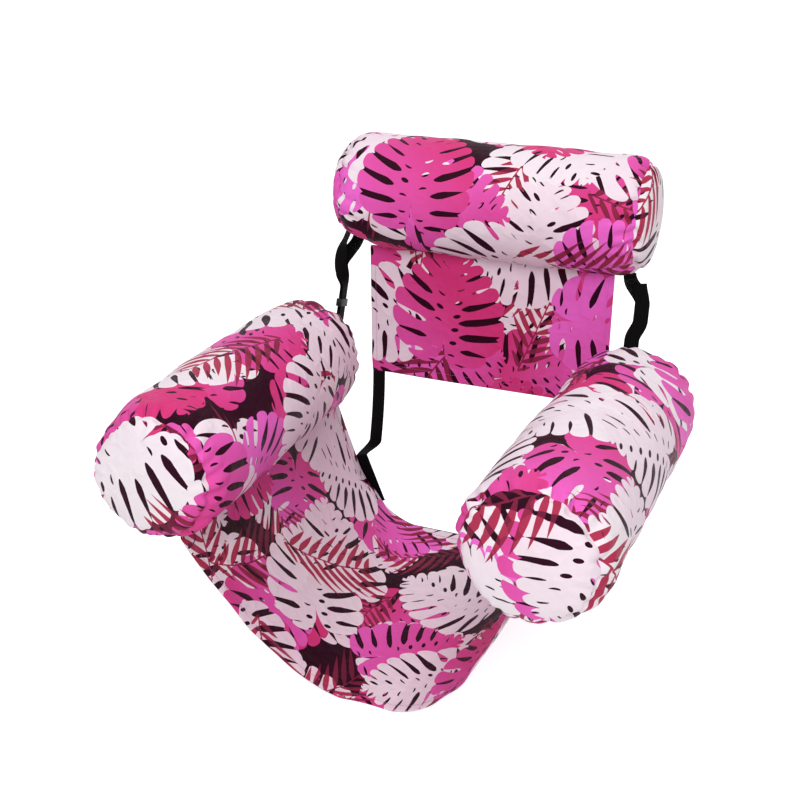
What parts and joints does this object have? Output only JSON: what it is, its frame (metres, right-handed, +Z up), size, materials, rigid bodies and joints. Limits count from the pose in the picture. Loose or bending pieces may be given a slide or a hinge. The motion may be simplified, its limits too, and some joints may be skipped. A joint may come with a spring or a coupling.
{
  "type": "pool lounger",
  "caption": "Floating chair with a cloth seat slung between inflatable armrests, a padded air headrest over a back panel, and webbing straps.",
  "frame": {"origin": "middle of the flat strip on which the seat cloth rests, in the plane of symmetry", "axes": "+Z up, -Y towards the feet (the open front), +X to the right as seen from the front"},
  "size_m": [0.81, 0.8438, 0.7495],
  "materials": {
    "printed_cloth": "smooth polyester with a tropical leaf print in pink, white, maroon and black, slight sheen",
    "black_webbing": "woven black webbing, matt",
    "bladder_vinyl": "soft pale vinyl film",
    "valve_plastic": "soft moulded vinyl, off-white",
    "slider_plastic": "moulded black plastic, slight sheen"
  },
  "bodies": {
    "seat": {"seat_sling": "printed_cloth", "seat_front_hem": "printed_cloth", "seat_rear_webbing": "black_webbing"},
    "left_armrest": {"left_armrest_sleeve": "printed_cloth", "left_armrest_rear_end": "printed_cloth", "left_armrest_front_end": "printed_cloth", "left_armrest_bladder": "bladder_vinyl", "left_armrest_valve": "valve_plastic"},
    "right_armrest": {"right_armrest_sleeve": "printed_cloth", "right_armrest_rear_end": "printed_cloth", "right_armrest_front_end": "printed_cloth", "right_armrest_bladder": "bladder_vinyl", "right_armrest_valve": "valve_plastic"},
    "backrest": {"headrest_sleeve": "printed_cloth", "headrest_left_end": "printed_cloth", "headrest_right_end": "printed_cloth", "headrest_bladder": "bladder_vinyl", "headrest_valve": "valve_plastic", "back_panel": "printed_cloth", "left_upper_strap": "black_webbing", "right_upper_strap": "black_webbing", "left_headrest_strap": "black_webbing", "right_headrest_strap": "black_webbing", "left_lower_strap": "black_webbing", "right_lower_strap": "black_webbing"},
    "left_armrest_plug": {"left_armrest_valve_plug": "valve_plastic"},
    "right_armrest_plug": {"right_armrest_valve_plug": "valve_plastic"},
    "headrest_plug": {"headrest_valve_plug": "valve_plastic"},
    "left_slider": {"left_strap_slider": "slider_plastic"},
    "right_slider": {"right_strap_slider": "slider_plastic"}
  },
  "joints": [
    {"name": "backrest_recline", "type": "hinge", "parent": "seat", "child": "backrest", "pos_m": [0, 0.23053, 0.28139], "axis": [-1, 0, 0], "range_deg": [0, 60], "deforming": ["left_lower_strap", "right_lower_strap"]},
    {"name": "left_armrest_fold", "type": "hinge", "parent": "seat", "child": "left_armrest", "pos_m": [-0.25934, -0.09091, 0.28963], "axis": [-0.0383, 0.9969, -0.068], "range_deg": [-45, 75]},
    {"name": "right_armrest_fold", "type": "hinge", "parent": "seat", "child": "right_armrest", "pos_m": [0.25934, -0.09091, 0.28963], "axis": [-0.0383, -0.9969, 0.068], "range_deg": [-45, 75]},
    {"name": "left_armrest_plug_pull", "type": "slide", "parent": "left_armrest", "child": "left_armrest_plug", "axis": [-0.0383, 0.9969, -0.068], "range_m": [0, 0.012]},
    {"name": "right_armrest_plug_pull", "type": "slide", "parent": "right_armrest", "child": "right_armrest_plug", "axis": [0.0383, 0.9969, -0.068], "range_m": [0, 0.012]},
    {"name": "headrest_plug_pull", "type": "slide", "parent": "backrest", "child": "headrest_plug", "axis": [-1, 0, 0], "range_m": [0, 0.012]},
    {"name": "left_slider_slide", "type": "slide", "parent": "backrest", "child": "left_slider", "axis": [0.0303, 0.3266, 0.9447], "range_m": [-0.02, 0.02]},
    {"name": "right_slider_slide", "type": "slide", "parent": "backrest", "child": "right_slider", "axis": [-0.0303, 0.3266, 0.9447], "range_m": [-0.02, 0.02]}
  ]
}
